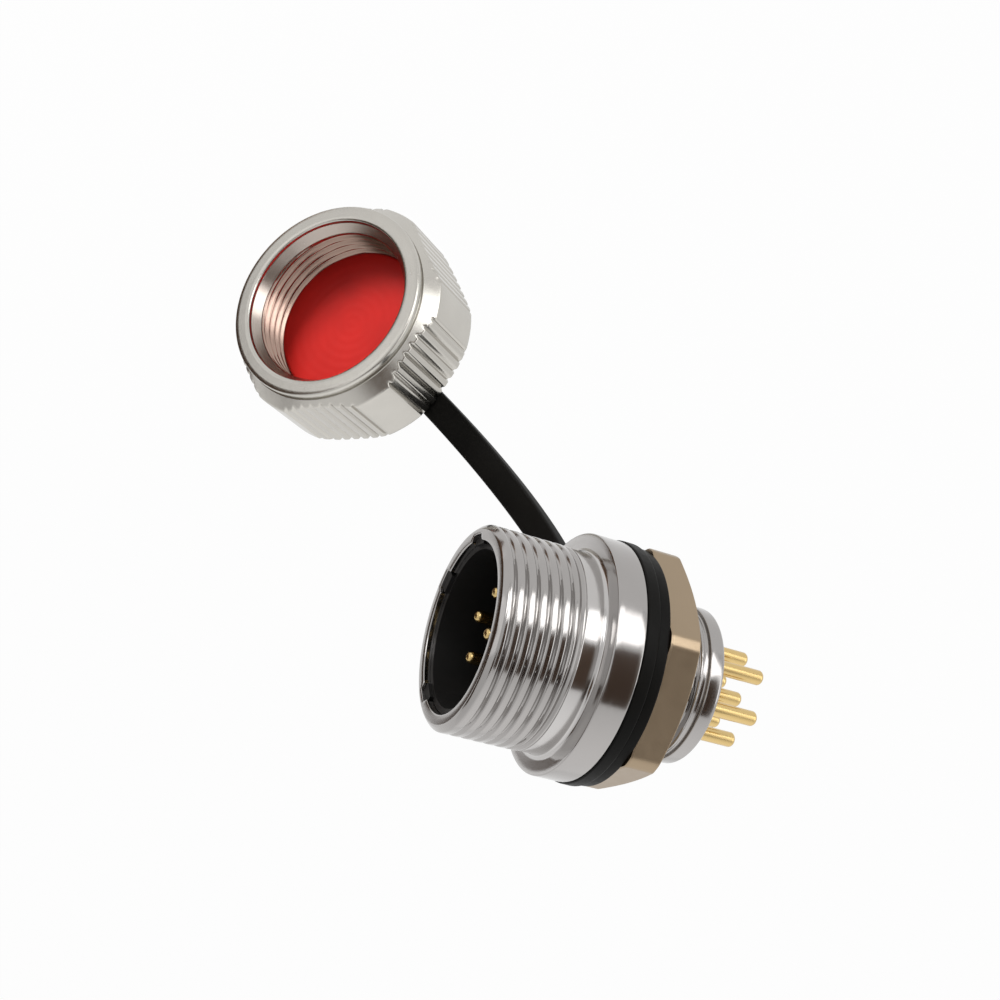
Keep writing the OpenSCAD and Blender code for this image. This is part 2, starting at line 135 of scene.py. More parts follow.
def on_cap(r, angle, z):
    """Row-frame points on the cap: radius r at an angle about its axis, z in front of its back."""
    r, angle, z = (a[..., None] for a in np.broadcast_arrays(r, angle, z))
    return CAP_BACK + CAP_X * (r * np.cos(angle)) + CAP_Y * (r * np.sin(angle)) + CAP_Z * z


def turn(count):
    """Equal steps round one full turn, as a row vector."""
    return np.linspace(0, FULL_TURN, count, endpoint=False)[None, :]


def eased(corners, ease, steps=4):
    """A closed profile whose corners are replaced by short parabolic arcs that reach ease along
    both sides."""
    p = np.asarray(corners, float)

    def towards(ends):
        """Points that lie ease, or just under half of the side where that is less, along each
        side."""
        side = ends - p
        length = np.linalg.norm(side, axis=1)[:, None]
        return p + side * np.minimum(ease, 0.45 * length) / length

    a, b = towards(np.roll(p, 1, 0)), towards(np.roll(p, -1, 0))
    s = np.linspace(0, 1, steps + 1)[None, :, None]
    arcs = a[:, None] * (1 - s) ** 2 + p[:, None] * 2 * s * (1 - s) + b[:, None] * s ** 2
    return arcs.reshape(-1, 2)


def filled(profile, step):
    """The same closed profile with its runs cut into pieces no longer than step, one value or one
    for each run."""
    ends = np.roll(profile, -1, 0)
    cuts = np.maximum(1, np.ceil(np.linalg.norm(ends - profile, axis=1) / step).astype(int))
    share = np.concatenate([np.arange(c) / c for c in cuts])[:, None]
    return np.repeat(profile, cuts, 0) * (1 - share) + np.repeat(ends, cuts, 0) * share


def soft_min(a, b, ease):
    """The smaller of two surfaces, with the edge where they cross rounded over about ease."""
    return -ease * np.logaddexp(-a / ease, -b / ease)


def ramp(x, low, high):
    """A smooth step from 0 at low to 1 at high."""
    s = np.clip((x - low) / (high - low), 0, 1)
    return s * s * (3 - 2 * s)


def thread_root(phase, crest=0.16):
    """A rounded V thread over one pitch: 0 on the crest, 1 in the root."""
    s = np.abs(2 * (phase - np.floor(phase)) - 1)
    return ramp(s, crest, 1.0)


def unit(v):
    """Vectors of length 1 along v."""
    return v / np.linalg.norm(v, axis=-1, keepdims=True)


def in_plane(v, n):
    """Vectors of length 1 along what is left of v in the plane across n."""
    return unit(v - n * np.sum(v * n, -1, keepdims=True))


def grid_faces(rows, cols, ring_rows):
    """Quads of a grid that is closed across its columns, and along its rows as well when ring_rows
    is set."""
    i = np.arange(rows if ring_rows else rows - 1)[:, None]
    j = np.arange(cols)[None, :]
    k, l = (i + 1) % rows, (j + 1) % cols
    quads = np.broadcast_arrays(i * cols + j, i * cols + l, k * cols + l, k * cols + j)
    return np.stack(quads, -1).reshape(-1, 4)


def solid(points, ring_rows):
    """Vertices and faces of a closed grid; an open one gets a fan over each end. Faces are turned
    outwards."""
    rows, cols, _ = points.shape
    verts = points.reshape(-1, 3)
    quads = grid_faces(rows, cols, ring_rows)
    fans = np.zeros((0, 3), int)
    if not ring_rows:
        j = np.arange(cols)
        l = (j + 1) % cols
        top, low = np.full(cols, len(verts)), np.full(cols, len(verts) + 1)
        last = (rows - 1) * cols
        verts = np.concatenate([verts, points[0].mean(0)[None], points[-1].mean(0)[None]])
        fans = np.concatenate([np.stack([top, l, j], 1), np.stack([low, last + j, last + l], 1)])
    tris = np.concatenate([quads[:, [0, 1, 2]], quads[:, [0, 2, 3]], fans])
    a, b, c = (verts[tris[:, n]] - verts.mean(0) for n in range(3))
    if np.einsum("ij,ij->", a, np.cross(b, c)) < 0:
        quads, fans = quads[:, ::-1], fans[:, ::-1]
    return verts, quads, fans


def piece(name, solids, material, sharp=35):
    """One mesh object from one or more closed solids, shaded smooth up to the given angle."""
    verts, quads, fans, first = [], [], [], 0
    for v, q, f in solids:
        verts.append(v)
        quads.append(q + first)
        fans.append(f + first)
        first += len(v)
    verts, quads, fans = np.concatenate(verts) * MM, np.concatenate(quads), np.concatenate(fans)
    mesh = bpy.data.meshes.new(name)
    mesh.vertices.add(len(verts))
    mesh.vertices.foreach_set("co", verts.astype(np.float32).ravel())
    mesh.loops.add(quads.size + fans.size)
    corners = np.concatenate([quads.ravel(), fans.ravel()])
    mesh.loops.foreach_set("vertex_index", corners.astype(np.int32))
    starts = np.concatenate([np.arange(len(quads)) * 4, quads.size + np.arange(len(fans)) * 3])
    mesh.polygons.add(len(starts))
    mesh.polygons.foreach_set("loop_start", starts.astype(np.int32))
    mesh.update(calc_edges=True)
    mesh.validate()
    mesh.shade_smooth()
    mesh.set_sharp_from_angle(angle=sharp * DEG)
    mesh.materials.append(material)
    obj = bpy.data.objects.new(name, mesh)
    bpy.context.scene.collection.objects.link(obj)
    return obj


def shell_surface():
    """The shell as a closed profile of radius against depth, turned about the axis, and each point's
    share of a lighter colour on the neck and the flange's front, a painted reflection of the light
    that bounces between them. Between the rim's bevel and the neck the radius drops by a thread
    wave of depth/pitch + clock/turn that ends in a round groove, and on the stud by another; at
    three clock angles the socket wall steps outwards for the insert's keys, and the rim narrows
    with it."""
    corners = [
        (SOCKET_R, 0), (BARREL_R - RIM_BEVEL, 0), (BARREL_R, RIM_BEVEL), (BARREL_R, BARREL_T),
        (NECK_R, BARREL_T + NECK_STEP), (NECK_R, FLANGE_T - NECK_FILLET),
        (NECK_R + 0.3 * NECK_FILLET, FLANGE_T - 0.3 * NECK_FILLET), (NECK_R + NECK_FILLET, FLANGE_T),
        (FLANGE_R, FLANGE_T), (FLANGE_R, PANEL_T), (STUD_R, PANEL_T), (STUD_R, RELIEF_T),
        (STUD_R - RELIEF_DEPTH, RELIEF_T), (STUD_R - RELIEF_DEPTH, RELIEF_T + RELIEF_W),
        (STUD_R, RELIEF_T + RELIEF_W), (STUD_R, STUD_T - STUD_BEVEL), (STUD_R - STUD_BEVEL, STUD_T),
        (STUD_BORE_R, STUD_T), (STUD_BORE_R, RING_T + RING_LEN),
        (STUD_BORE_R + RING_GROOVE, RING_T + RING_LEN), (STUD_BORE_R + RING_GROOVE, RING_T),
        (STUD_BORE_R, RING_T), (STUD_BORE_R, SEAT_T), (SOCKET_R, SEAT_T),
        (SOCKET_R, KEY_LEN), (SOCKET_R, KEY_LEN - KEY_RAMP)]
    outline = eased(corners, SHELL_EASE)
    run_r, run_t = ((outline + np.roll(outline, -1, 0)) / 2).T
    threaded = (run_r > BARREL_R - ON_WALL) & (run_t < BARREL_T)
    threaded |= (np.abs(run_r - STUD_R) < ON_WALL) & (run_t < RELIEF_T)
    profile = filled(outline, np.where(threaded, THREAD_STEP, PLAIN_STEP))
    r, t = profile[:, :1], profile[:, 1:]
    clock = turn(256)
    turned = clock / FULL_TURN

    on_barrel = (r > BARREL_R - ON_WALL) & (t > RIM_BEVEL / 2) & (t < BARREL_T + NECK_STEP)
    wave = thread_root(t / COUPLING_PITCH + turned - COUPLING_OFFSET, COUPLING_CREST)
    helix = COUPLING_DEPTH * wave * ramp(t, *RUN_IN) * (1 - ramp(t, *RUN_OUT))
    end_groove = END_GROOVE_DEPTH * np.exp(-((t - END_GROOVE_T) / END_GROOVE_W) ** 2)
    on_stud = (np.abs(r - STUD_R) < ON_WALL) & (t > PANEL_T) & (t < RELIEF_T)
    stud = STUD_DEPTH * thread_root(t / STUD_PITCH + turned, STUD_CREST)
    stud = stud * ramp(t - PANEL_T, *STUD_RUN_IN)
    radius = r - on_barrel * np.maximum(helix, end_groove) - on_stud * stud

    from_key = np.abs((clock / DEG - np.array(KEY_CLOCKS)[:, None] + 180) % 360 - 180)
    keyed = np.sum(1 - ramp(from_key * DEG * SOCKET_R, *KEY_HALF), 0)
    rim_share = np.clip((BARREL_R - RIM_BEVEL - r) / (BARREL_R - RIM_BEVEL - SOCKET_R), 0, 1)
    radius = radius + KEY_DEPTH * keyed * rim_share * (1 - ramp(t, KEY_LEN - KEY_RAMP, KEY_LEN))

    # The neck and the flange's front get a lighter colour, a painted reflection of the light that
    # bounces between them.
    behind_barrel = ramp(t, BARREL_T - NECK_STEP, BARREL_T + NECK_STEP)
    neck = behind_barrel * (t < FLANGE_T + ON_WALL) * (r > BARREL_R - 0.5)
    painted_reflection = neck * (1 - ramp(r, FLANGE_R - 0.15, FLANGE_R))
    return solid(on_connector(radius, clock, t), True), np.repeat(painted_reflection[:, 0], clock.size)


def contact_surface(x, z):
    """A turned contact about a line parallel to the axis: a round-nosed pin, a collar and a
    round-nosed post."""
    nose = np.linspace(0, np.pi / 2, 9)
    pin = np.stack([PIN_TIP_R + (PIN_R - PIN_TIP_R) * np.sin(nose),
                    PIN_TIP_T + PIN_R * (1 - np.cos(nose))], 1)
    collar = np.array([(PIN_R, COLLAR_T), (COLLAR_R, COLLAR_T), (COLLAR_R, COLLAR_T + COLLAR_LEN),
                       (POST_R, COLLAR_T + COLLAR_LEN)])
    post = np.stack([POST_TIP_R + (POST_R - POST_TIP_R) * np.cos(nose),
                     POST_END_T - POST_NOSE + POST_NOSE * np.sin(nose)], 1)
    profile = np.concatenate([pin, collar, post])
    points = on_connector(profile[:, :1], turn(28), profile[:, 1:])
    return solid(points + np.array([x, 0, z]), False)


def nut_surface():
    """A closed profile of share and depth round the nut's wall. The outer radius is the smallest of
    the hexagon, flat / cos(angle from the flat's middle), the cylinder that turns its corners down,
    and the rear bevel's cone. The bore carries a thread wave of depth/pitch + clock/turn."""
    bore = STUD_R + RUN
    deep = np.concatenate([[0.0, 0.03, 0.08, 0.16], np.linspace(0.3, NUT_H - 0.7, 8),
                           np.linspace(NUT_H - 0.65, NUT_H, 26)])[:, None]
    clock = turn(432)
    side = (clock / DEG - NUT_CLOCK) % 60 - 30
    hexagon = soft_min(NUT_FLAT_R / np.cos(side * DEG), np.array(NUT_CORNER_R), 0.03)
    bevel_r = NUT_FLAT_R - NUT_BEVEL_IN
    cone = bevel_r + (NUT_H - deep) * (NUT_CORNER_R - bevel_r) / NUT_BEVEL
    outer = soft_min(hexagon, cone, 0.035) - NUT_FRONT_EASE * (1 - ramp(deep, 0, 0.12))
    share = np.array([0.0, 0.03, 0.2, 0.5, 0.8, 0.97])[:, None]
    mouth = bore + NUT_COUNTERSINK
    front, rear = (mouth + (rim - mouth) * share for rim in (outer[:1], outer[-1:]))
    inner = np.linspace(NUT_H, 0, 34)[1:-1, None]
    wave = thread_root(inner / STUD_PITCH + clock / FULL_TURN)
    thread = bore + NUT_THREAD_GAP + NUT_THREAD_DEPTH * wave
    radius = np.concatenate([front, outer, rear[::-1], thread])
    depth = np.concatenate([np.zeros_like(share), deep, np.full_like(share, NUT_H), inner])
    return solid(on_connector(radius, clock, NUT_T + depth), True)


def grip_radius(angle, z):
    """The grip's outside: the smallest of a round body, six flats with narrow valleys across them,
    the cone that is turned on the front, and the bevel at the back."""
    from_flat = ((angle - CAP_CLOCK) / DEG + 30) % 60 - 30
    across = FLAT_R * np.tan(from_flat * DEG) / RIDGE_PITCH
    from_valley = np.abs(across - np.floor(across) - 0.5)
    valley = VALLEY_DEPTH * (1 - ramp(from_valley, 0.0, VALLEY_HALF)) * (np.abs(across) < RIDGES / 2)
    flats = (FLAT_R - valley) / np.cos(from_flat * DEG)
    body = soft_min(np.full_like(angle, GRIP_R), flats, 0.03)
    front = CAP_RING_R + GRIP_END_Z - z
    back = GRIP_R - BACK_BEVEL + z
    return soft_min(soft_min(body, front, 0.03), back, 0.04)


def cap_surface():
    """The cap as one closed profile turned about its axis: the back, the grip, the groove, the ring
    round the mouth, the mouth and the cone behind it, the inner thread as a wave of depth/pitch +
    angle/turn, the floor and the rivet hole. With it comes each point's share of a darker brownish
    colour within the cap, which fades towards the mouth: partly the metal's own tone, partly painted
    shade in the recess."""
    angle = turn(576)
    z_grip = np.concatenate([
        [0.0, 0.03, 0.1, 0.2, 0.32, 0.45, 0.6], np.linspace(0.9, 5.6, 7),
        np.linspace(5.75, GRIP_END_Z - 0.06, 30), [GRIP_END_Z - 0.02, GRIP_END_Z]])[:, None]
    grip = grip_radius(angle, z_grip)
    grip[-1] -= 0.04
    face_share = np.array([0.9, 0.6, 0.3, 0.0])[:, None]
    groove_edge = GROOVE_R + 0.02
    face = groove_edge + (grip[-1:] - groove_edge) * face_share
    z_in = np.linspace(MOUTH_Z, CAP_FLOOR + 0.05, 90)[:, None]
    up_cone = np.clip((z_in - THREAD_Z) / (MOUTH_Z - THREAD_Z), 0, 1)
    lead = CAP_THREAD_R + (MOUTH_R - CAP_THREAD_R) * up_cone
    root = 1 - thread_root(z_in / COUPLING_PITCH + angle / FULL_TURN, CAP_THREAD_CREST)
    inner = lead + CAP_THREAD_DEPTH * root * (1 - ramp(z_in, THREAD_Z - THREAD_FADE, THREAD_Z))
    whole = np.zeros_like(angle)
    radius = np.concatenate([
        CAP_BACK_FACE[:, :1] + whole, grip, face, CAP_RING[:, :1] + whole, inner,
        CAP_FLOOR_FACE[:, :1] + whole])
    z = np.concatenate([
        CAP_BACK_FACE[:, 1:], z_grip, np.full_like(face_share, GRIP_END_Z), CAP_RING[:, 1:], z_in,
        CAP_FLOOR_FACE[:, 1:]])
    within = np.arange(len(z)) >= len(z) - len(CAP_FLOOR_FACE) - len(z_in)
    # A darker colour within the cap, strongest in the thread: partly the metal's own tone, partly
    # painted shade in the recess.
    tone_and_shade_share = within * (1 - 0.6 * ramp(z[:, 0], THREAD_Z - 0.4, THREAD_Z))
    return solid(on_cap(radius, angle, z), True), np.repeat(tone_and_shade_share, angle.size)


def seal_surface():
    """A disc in the cap's bottom: a flat top that dishes by a shallow cosine and carries faint
    moulded rings, a cosine of the radius, with a rolled edge."""
    share = np.linspace(0.0, 1.0, 90)[1:]
    dish = 0.06 * (0.5 + 0.5 * np.cos(share * np.pi))
    rings = 0.004 * np.cos(share * SEAL_TOP_R * FULL_TURN / SEAL_RING_PITCH)
    r = np.concatenate([share * SEAL_TOP_R, SEAL_EDGE[:, 0]])[:, None]
    z = np.concatenate([SEAL_TOP - 0.05 - dish + rings, SEAL_EDGE[:, 1]])[:, None]
    return solid(on_cap(r, turn(144), z), False)


def washer(r_in, r_out, low, high, place, count=160):
    """A ring of rectangular section with eased edges, turned about the given axis."""
    corners = [(r_in, low), (r_out, low), (r_out, high), (r_in, high)]
    profile = filled(eased(corners, RING_EASE, 6), PLAIN_STEP)
    return solid(place(profile[:, :1], turn(count), profile[:, 1:]), True)


def strap_line():
    """The strap's middle line with the directions across and through it: a cubic curve between the
    loop's tab and the eyelet's tab, with a straight run into each ring, and a section that turns
    evenly from one end to the other. With them come the distance past each tab and the curve's
    root."""
    root = np.array([0, TETHER_T / 2, -LOOP_R - TAB])
    eyelet = CAP_BACK - CAP_Z * (EYELET_GAP + TETHER_T / 2)
    straight = in_plane(eyelet - root, CAP_Z)
    ahead = straight * np.cos(EYELET_SWING) + np.cross(CAP_Z, straight) * np.sin(EYELET_SWING)
    tip = eyelet - ahead * (EYELET_R + TAB)
    down = np.array([0, 0, -1.0])
    pulls = np.stack([root, root + down * ROOT_PULL, tip - ahead * END_PULL, tip])
    t = np.linspace(0, 1, 72)[:, None]
    s = 1 - t
    curve = np.concatenate([s ** 3, 3 * t * s ** 2, 3 * t ** 2 * s, t ** 3], 1) @ pulls
    slope = np.concatenate([-s ** 2, s ** 2 - 2 * t * s, 2 * t * s - t ** 2, t ** 2], 1) @ pulls
    run_in = np.linspace(0, TAB + STRAP_OVERLAP, 14)[1:, None]
    line = np.concatenate([root - down * run_in[::-1], curve, tip + ahead * run_in])
    along = np.concatenate([np.tile(down, run_in.shape), unit(slope), np.tile(ahead, run_in.shape)])
    twist = np.concatenate([np.zeros_like(run_in), t, np.ones_like(run_in)])
    sideways = np.array([1.0, 0, 0]) * (1 - twist) + np.cross(CAP_Z, ahead) * twist
    across = in_plane(sideways, along)
    past_tab = np.concatenate([
        run_in[::-1] - TAB, np.full_like(t, -STRAP_FILLET), run_in - TAB])
    return line, across, np.cross(along, across), past_tab, root


def strap_surface():
    """A rounded rectangle carried along the strap's line; near each ring its width opens out by a
    round fillet."""
    line, across, through, past_tab, _ = strap_line()
    gap = np.clip(-past_tab, 0, STRAP_FILLET)
    flare = STRAP_FILLET - np.sqrt(STRAP_FILLET ** 2 - (STRAP_FILLET - gap) ** 2)
    corner = np.linspace(0, np.pi / 2, 6)
    quarter = np.stack([TETHER_W / 2 - STRAP_EASE + STRAP_EASE * np.cos(corner),
                        TETHER_T * STRAP_THIN / 2 - STRAP_EASE + STRAP_EASE * np.sin(corner)], 1)
    section = np.concatenate([quarter, quarter[::-1] * [-1, 1], -quarter, quarter[::-1] * [1, -1]])
    u = section[None, :, :1] + np.sign(section[None, :, :1]) * flare[:, None]
    points = line[:, None] + across[:, None] * u + through[:, None] * section[None, :, 1:]
    return solid(points, False)


# Finishes

def finish(name, base, metallic, roughness, spread, grain, tint, bump, stretch=(1, 1, 1),
           reach=0.00002, **sockets):
    """A finish from two noise fields on Object coordinates: one varies the colour slowly, by tint,
    and the other is a fine relief that can be stretched along one axis, as turning or moulding
    leaves it, and varies the roughness."""
    material = bpy.data.materials.new(name)
    material.use_nodes = True
    tree = material.node_tree
    shader = tree.nodes["Principled BSDF"]
    shader.inputs["Metallic"].default_value = metallic
    for socket, value in sockets.items():
        shader.inputs[socket.replace("_", " ")].default_value = value

    def node(kind, **inputs):
        """A new node with the given socket values, spaces written as underscores."""
        made = tree.nodes.new(kind)
        for key, value in inputs.items():
            made.inputs[key.replace("_", " ")].default_value = value
        return made

    place = tree.nodes.new("ShaderNodeTexCoord")
    cloud = node("ShaderNodeTexNoise", Scale=160.0, Detail=4.0, Roughness=0.6)
    tree.links.new(place.outputs["Object"], cloud.inputs["Vector"])
    shades = tree.nodes.new("ShaderNodeValToRGB")
    darker, lighter = shades.color_ramp.elements
    darker.position, lighter.position = 0.3, 0.7
    darker.color = (*[c * (1 - tint) for c in base], 1)
    lighter.color = (*[min(1.0, c * (1 + tint)) for c in base], 1)
    tree.links.new(cloud.outputs["Fac"], shades.inputs["Fac"])
    tree.links.new(shades.outputs["Color"], shader.inputs["Base Color"])
    gloss = node("ShaderNodeMapRange", To_Min=max(0.02, roughness - spread), To_Max=roughness + spread)
    fine = node("ShaderNodeTexNoise", Scale=grain, Detail=3.0, Roughness=0.55)
    scale = node("ShaderNodeMapping", Scale=stretch)
    tree.links.new(place.outputs["Object"], scale.inputs["Vector"])
    tree.links.new(scale.outputs["Vector"], fine.inputs["Vector"])
    tree.links.new(fine.outputs["Fac"], gloss.inputs["Value"])
    tree.links.new(gloss.outputs["Result"], shader.inputs["Roughness"])
    relief = node("ShaderNodeBump", Strength=bump, Distance=reach)
    tree.links.new(fine.outputs["Fac"], relief.inputs["Height"])
    tree.links.new(relief.outputs["Normal"], shader.inputs["Normal"])
    return material


def tone_and_painted_light(material, colour):
    """Mixes in a second colour where the mesh's attribute of that name says so. It carries painted
    light: a painted reflection on the shell's neck, and painted shade with the metal's own tone
    within the cap.
    """
    tree = material.node_tree
    shader = tree.nodes["Principled BSDF"]
    where = tree.nodes.new("ShaderNodeAttribute")
    where.attribute_name = "tone_and_painted_light"
    mix = tree.nodes.new("ShaderNodeMixRGB")
    mix.inputs["Color2"].default_value = (*colour, 1)
    tree.links.new(where.outputs["Fac"], mix.inputs["Fac"])
    tree.links.new(shader.inputs["Base Color"].links[0].from_socket, mix.inputs["Color1"])
    tree.links.new(mix.outputs["Color"], shader.inputs["Base Color"])


def set_tone_and_painted_light(obj, share):
    """Writes a piece's share of its second colour, one value for each vertex; the colour paints a
    reflection on the shell and shade within the cap.
    """
    tone = obj.data.attributes.new("tone_and_painted_light", "FLOAT", "POINT")
    tone.data.foreach_set("value", share.astype(np.float32))


bright_plate = finish(
    "bright_plate", (0.38, 0.365, 0.355), metallic=1.0, roughness=0.15, spread=0.04,
    grain=900, tint=0.03, bump=0.03, stretch=(0.15, 5, 0.15))
# A lighter colour on the neck and the flange's front: a painted reflection.
tone_and_painted_light(bright_plate, (0.50, 0.485, 0.475))
warm_plate = finish(
    "warm_plate", (0.345, 0.265, 0.18), metallic=1.0, roughness=0.34, spread=0.04,
    grain=1200, tint=0.03, bump=0.04)
satin_plate = finish(
    "satin_plate", (0.53, 0.51, 0.47), metallic=1.0, roughness=0.25, spread=0.05,
    grain=1800, tint=0.04, bump=0.06)
# A darker brownish colour within the cap: partly the metal's own tone, partly painted shade.
tone_and_painted_light(satin_plate, (0.40, 0.28, 0.23))
spring_steel = finish(
    "spring_steel", (0.50, 0.49, 0.47), metallic=1.0, roughness=0.3, spread=0.06,
    grain=1500, tint=0.06, bump=0.06)
gold_plate = finish(
    "gold_plate", (0.66, 0.48, 0.21), metallic=1.0, roughness=0.22, spread=0.05,
    grain=1500, tint=0.05, bump=0.05, stretch=(1, 0.3, 1))
insert_black = finish(
    "insert_black", (0.010, 0.0095, 0.009), metallic=0.0, roughness=0.5, spread=0.08,
    grain=2200, tint=0.2, bump=0.25, Specular_IOR_Level=0.3)
strap_rubber = finish(
    "strap_rubber", (0.0062, 0.0058, 0.005), metallic=0.0, roughness=0.46, spread=0.08,
    grain=2600, tint=0.25, bump=0.3, reach=0.00003, Specular_IOR_Level=0.09)
seal_rubber = finish(
    "seal_rubber", (0.70, 0.024, 0.019), metallic=0.0, roughness=0.4, spread=0.06,
    grain=2000, tint=0.08, bump=0.15, reach=0.00003, Specular_IOR_Level=0.18)

# Pieces, each on the body that carries it, save the strap, which is baked in place on none

# The shell's attribute mixes in the lighter colour of the painted reflection on its neck.
shell_solid, neck_painted_reflection = shell_surface()
shell = piece("shell_turned", [shell_solid], bright_plate, 40)
set_tone_and_painted_light(shell, neck_painted_reflection)
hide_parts("shell")
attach(shell, "receptacle")

for i in range(1, CONTACTS + 1):
    clock = (CONTACT_CLOCK + 60 * (i - 1)) * DEG
    off_axis = 0.0 if i == CONTACTS else CONTACT_CIRCLE_R
    contact_solid = contact_surface(-off_axis * np.sin(clock), off_axis * np.cos(clock))
    contact = piece(f"contact_turned_{i}", [contact_solid], gold_plate)
    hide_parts(f"contact_{i}")
    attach(contact, "receptacle")

gasket_solid = washer(STUD_R + STUD_GAP, FLANGE_R - GASKET_INSET, LOOP_T, NUT_T, on_connector)
gasket = piece("gasket_ring", [gasket_solid], strap_rubber, 60)
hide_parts("panel_gasket")
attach(gasket, "receptacle")

nut = piece("nut_bevelled", [nut_surface()], warm_plate, 28)
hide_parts("panel_nut")
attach(nut, "nut")

# The cap's attribute mixes in its darker colour within: partly its own tone, partly painted shade.
cap_solid, cap_tone_and_shade = cap_surface()
cap = piece("cap_ridged", [cap_solid], satin_plate, 38)
set_tone_and_painted_light(cap, cap_tone_and_shade)
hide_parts("cap_shell")
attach(cap, "cap")

seal = piece("seal_disc", [seal_surface()], seal_rubber, 60)
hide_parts("cap_seal")
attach(seal, "cap")

# The strap curves from its root at the loop to the eyelet's tab, and from there on it runs along
# the cap's back.
strap_loop = washer(STUD_R + STUD_GAP, LOOP_R, PANEL_T, LOOP_T, on_connector)
strap_eyelet = washer(EYELET_HOLE_R, EYELET_R, -EYELET_GAP - TETHER_T, -EYELET_GAP, on_cap, 96)
strap_solids = [strap_loop, strap_surface(), strap_eyelet]
strap = piece("strap_moulded", strap_solids, strap_rubber, 60)
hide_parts("tether_strap")
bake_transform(strap)

for name, material in (("front_insert", insert_black), ("rear_insert", insert_black),
                       ("retaining_ring", spring_steel), ("cap_rivet", spring_steel)):
    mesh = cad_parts[name].data
    mesh.materials.clear()
    mesh.materials.append(material)

# Camera: the photograph's view, as three unit axes and a place in the row frame

CAMERA_RIGHT = np.array([-0.40365, 0.90264, 0.14935])
CAMERA_UP = np.array([-0.79786, -0.26739, -0.54030])
CAMERA_BACK = np.array([-0.44776, -0.33726, 0.82811])
CAMERA_PLACE = np.array([-62.343, -50.936, 94.432])


def placed(x, y, z, place):
    """A matrix in metres from three unit axes and a place."""
    m = np.eye(4)
    m[:3, 0], m[:3, 1], m[:3, 2], m[:3, 3] = x, y, z, place * MM
    return Matrix(m.tolist())


def seen_from_camera(x, y, z):
    """A row-frame direction from parts to the right, upwards and towards the camera."""
    return unit(CAMERA_RIGHT * x + CAMERA_UP * y + CAMERA_BACK * z)


camera_data = bpy.data.cameras.new("photo_camera")
camera_data.sensor_width, camera_data.lens = 36.0, 57.6
camera_data.clip_start, camera_data.clip_end = 0.01, 20.0
camera = bpy.data.objects.new("photo_camera", camera_data)
camera.matrix_world = placed(CAMERA_RIGHT, CAMERA_UP, CAMERA_BACK, CAMERA_PLACE)
bpy.context.scene.collection.objects.link(camera)
bpy.context.scene.camera = camera

# Studio: a pale floor, soft lamps and dark cards that the metal mirrors. Their sizes are metres.

MIDDLE = np.array([0.0, -5.0, -20.0])
ROW_X, ROW_Y, ROW_Z = np.eye(3)
FLOOR_LEVEL, FLOOR_SIZE = -130.0, 6.0
FLOOR_WHITE, FLOOR_SHADOW_KEPT = 0.92, 0.03
CARD_BROWN, CARD_ROUGHNESS = (0.13, 0.075, 0.045), 0.9
SKY_FOR_LIGHT, SKY_MIRRORED, WINDOW_MIRRORED, WINDOW_EDGE = 0.35, 0.8, 1.2, 0.4


def facing(place, target, up=CAMERA_UP):
    """A turned frame whose -Z axis looks from place to target, as a matrix in metres."""
    z = unit(place - target)
    x = unit(np.cross(up, z))
    return placed(x, np.cross(z, x), z, place)


def lamp(name, direction, far, size, power, target=MIDDLE):
    """A square soft lamp, far millimetres out along a direction from the target, that faces the
    target."""
    data = bpy.data.lights.new(name, "AREA")
    data.shape, data.size, data.energy = "SQUARE", size, power
    obj = bpy.data.objects.new(name, data)
    obj.matrix_world = facing(target + direction * far, target)
    obj.visible_camera = False
    bpy.context.scene.collection.objects.link(obj)
    return obj


def plate(name, matrix, width, height, material):
    """A flat rectangle in its own plane, put in place by a matrix."""
    corners = np.array([[-1, -1, 0], [1, -1, 0], [1, 1, 0], [-1, 1, 0]])
    corners = corners * [width / 2, height / 2, 0]
    mesh = bpy.data.meshes.new(name)
    mesh.from_pydata(corners.tolist(), [], [(0, 1, 2, 3)])
    mesh.transform(matrix)
    mesh.materials.append(material)
    obj = bpy.data.objects.new(name, mesh)
    bpy.context.scene.collection.objects.link(obj)
    return obj


def math_node(tree, operation, first, second):
    """The result of a Math node; second is a socket or a plain number."""
    made = tree.nodes.new("ShaderNodeMath")
    made.operation = operation
    tree.links.new(first, made.inputs[0])
    if isinstance(second, float):
        made.inputs[1].default_value = second
    else:
        tree.links.new(second, made.inputs[1])
    return made.outputs[0]


def mirrored_or_seen(tree):
    """A socket that is 1 for camera, glossy and transmission rays, and 0 for the rays that only
    carry light."""
    rays = tree.nodes.new("ShaderNodeLightPath").outputs
    either = math_node(tree, "MAXIMUM", rays["Is Camera Ray"], rays["Is Glossy Ray"])
    return math_node(tree, "MAXIMUM", either, rays["Is Transmission Ray"])


def backdrop_paint(name):
    """White paint that keeps the object's shadow: a diffuse white, mixed with plain white for
    camera, glossy and transmission rays."""
    material = bpy.data.materials.new(name)
    material.use_nodes = True
    tree = material.node_tree
    tree.nodes.clear()
    out = tree.nodes.new("ShaderNodeOutputMaterial")
    mix = tree.nodes.new("ShaderNodeMixShader")
    paint = tree.nodes.new("ShaderNodeBsdfDiffuse")
    paint.inputs["Color"].default_value = (FLOOR_WHITE, FLOOR_WHITE, FLOOR_WHITE, 1)
    white = tree.nodes.new("ShaderNodeEmission")
    plain = math_node(tree, "MULTIPLY", mirrored_or_seen(tree), 1 - FLOOR_SHADOW_KEPT)
    tree.links.new(plain, mix.inputs["Fac"])
    tree.links.new(paint.outputs["BSDF"], mix.inputs[1])
    tree.links.new(white.outputs["Emission"], mix.inputs[2])
    tree.links.new(mix.outputs["Shader"], out.inputs["Surface"])
    return material


floor_place = placed(ROW_X, ROW_Y, ROW_Z, ROW_Z * FLOOR_LEVEL)
plate("studio_floor", floor_place, FLOOR_SIZE, FLOOR_SIZE, backdrop_paint("floor_white"))

